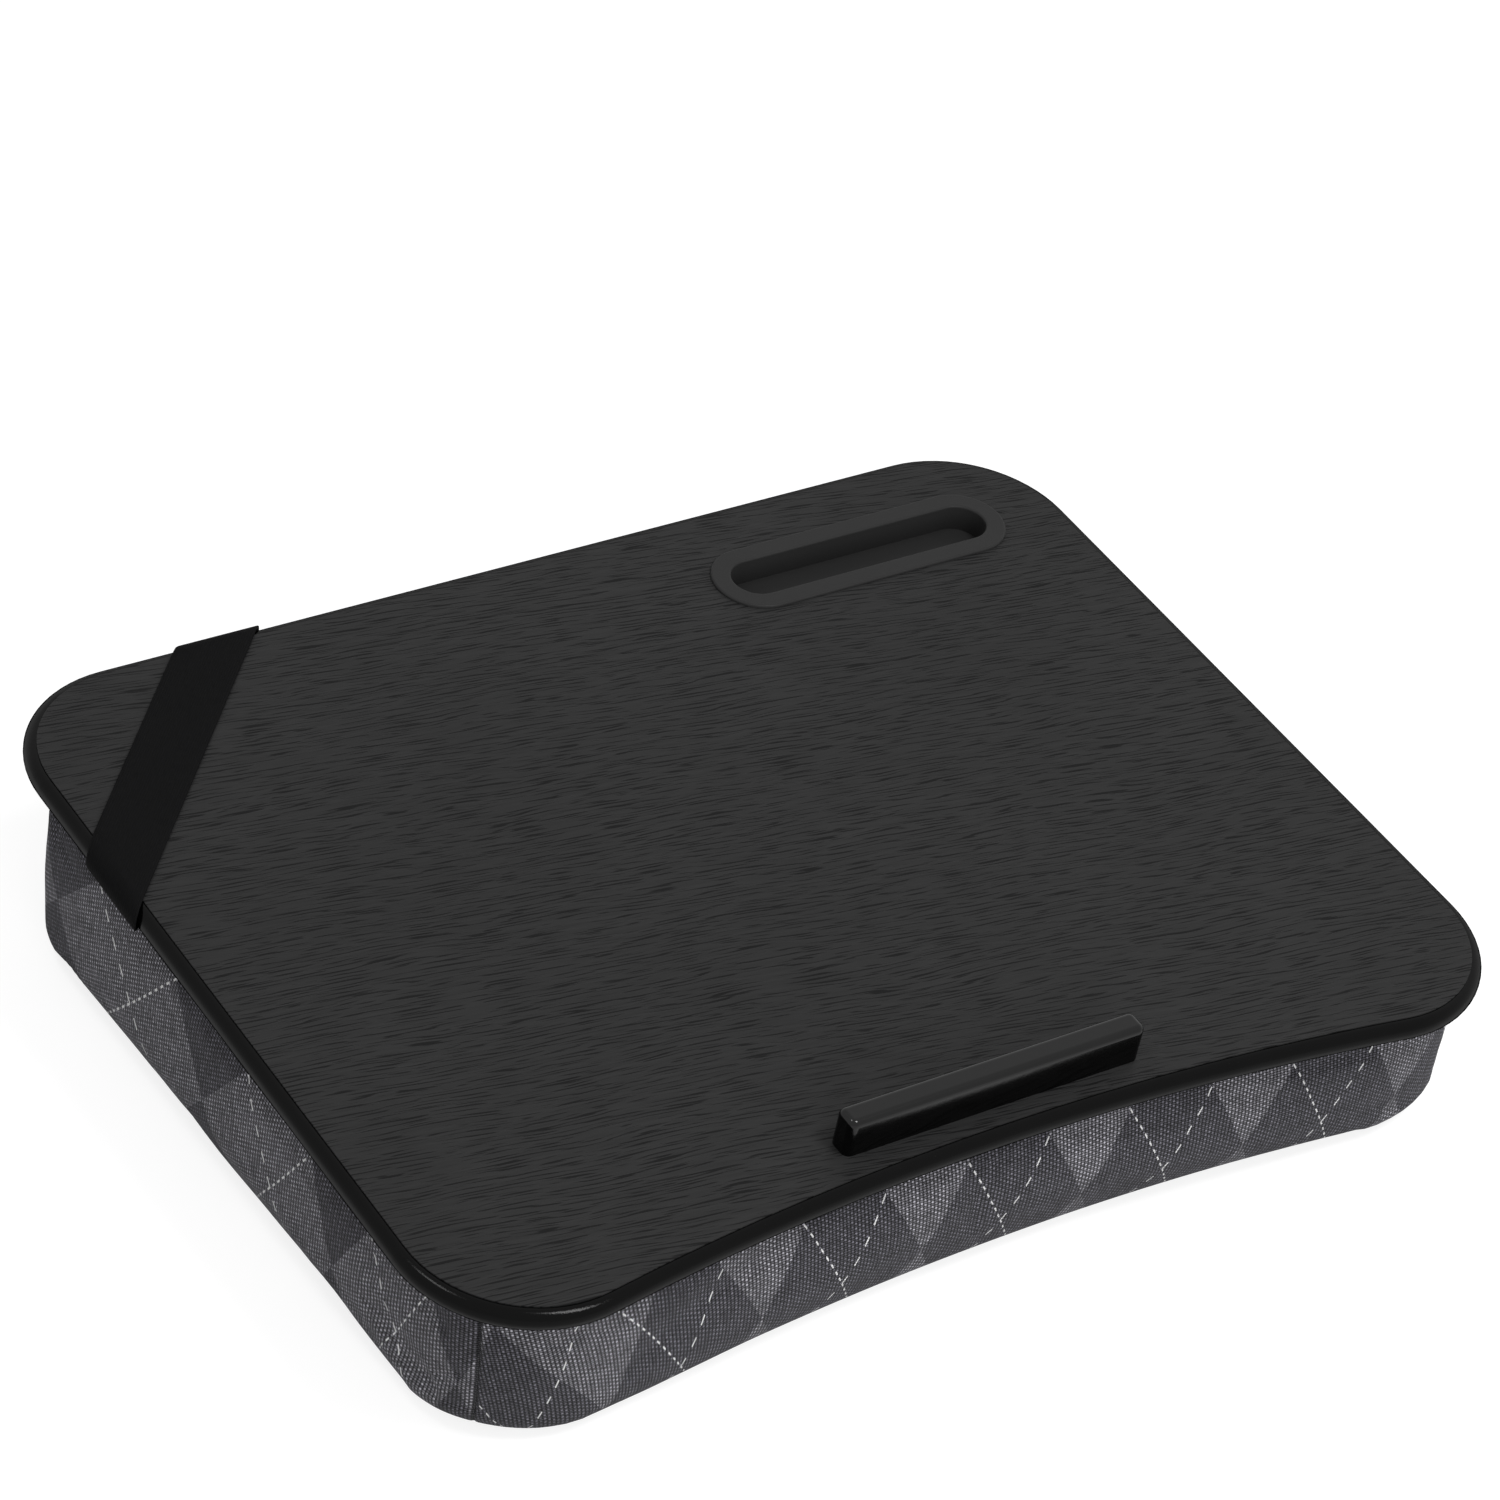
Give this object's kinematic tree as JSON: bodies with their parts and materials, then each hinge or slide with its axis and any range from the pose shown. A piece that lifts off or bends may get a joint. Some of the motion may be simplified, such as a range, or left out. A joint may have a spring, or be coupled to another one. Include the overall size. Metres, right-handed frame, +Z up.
{
  "type": "lap tray with cushion",
  "caption": "Lap desk: laminated board with a hollowed front, device ledge, phone slot and elastic corner strap, stapled to a wedge-shaped cushion in argyle canvas.",
  "frame": {"origin": "middle of the footprint, at the flat base of the cushion", "axes": "+X to the user's right along the tray's width, +Y away from the user, +Z up"},
  "size_m": [0.4524, 0.3529, 0.0932],
  "materials": {
    "board_edge": "black painted fibreboard, gloss with a slight orange peel",
    "laminate": "satin, embossed with a fine wood grain",
    "film": "matt",
    "slot_plastic": "satin moulded",
    "ledge_plastic": "gloss moulded",
    "steel": "zinc plated",
    "elastic": "matt ribbed elastic",
    "canvas": "coarse woven canvas, printed argyle in greys with white dashes",
    "liner": "thin unbleached lining, dyed dark",
    "strip": "matt",
    "filling": "soft foam"
  },
  "bodies": {
    "tray": {"board_core": "board_edge", "top_laminate": "laminate", "backing_film": "film", "slot_insert": "slot_plastic", "device_ledge": "ledge_plastic", "ledge_screws": "steel", "strap_left_end": "elastic", "strap_back_end": "elastic", "strap_staples": "steel", "cover_front_panel": "canvas", "cover_right_panel": "canvas", "cover_back_panel": "canvas", "cover_left_panel": "canvas", "cover_bottom_panel": "canvas", "cover_top_liner": "liner", "tack_strip": "strip", "cover_staples": "steel", "cushion_fill": "filling"},
    "strap": {"strap_middle": "elastic"}
  },
  "joints": [
    {"name": "strap_lift", "type": "slide", "parent": "tray", "child": "strap", "axis": [0, -0.0577, 0.9983], "range_m": [0, 0.025], "stiffness_N_per_m": 150}
  ]
}
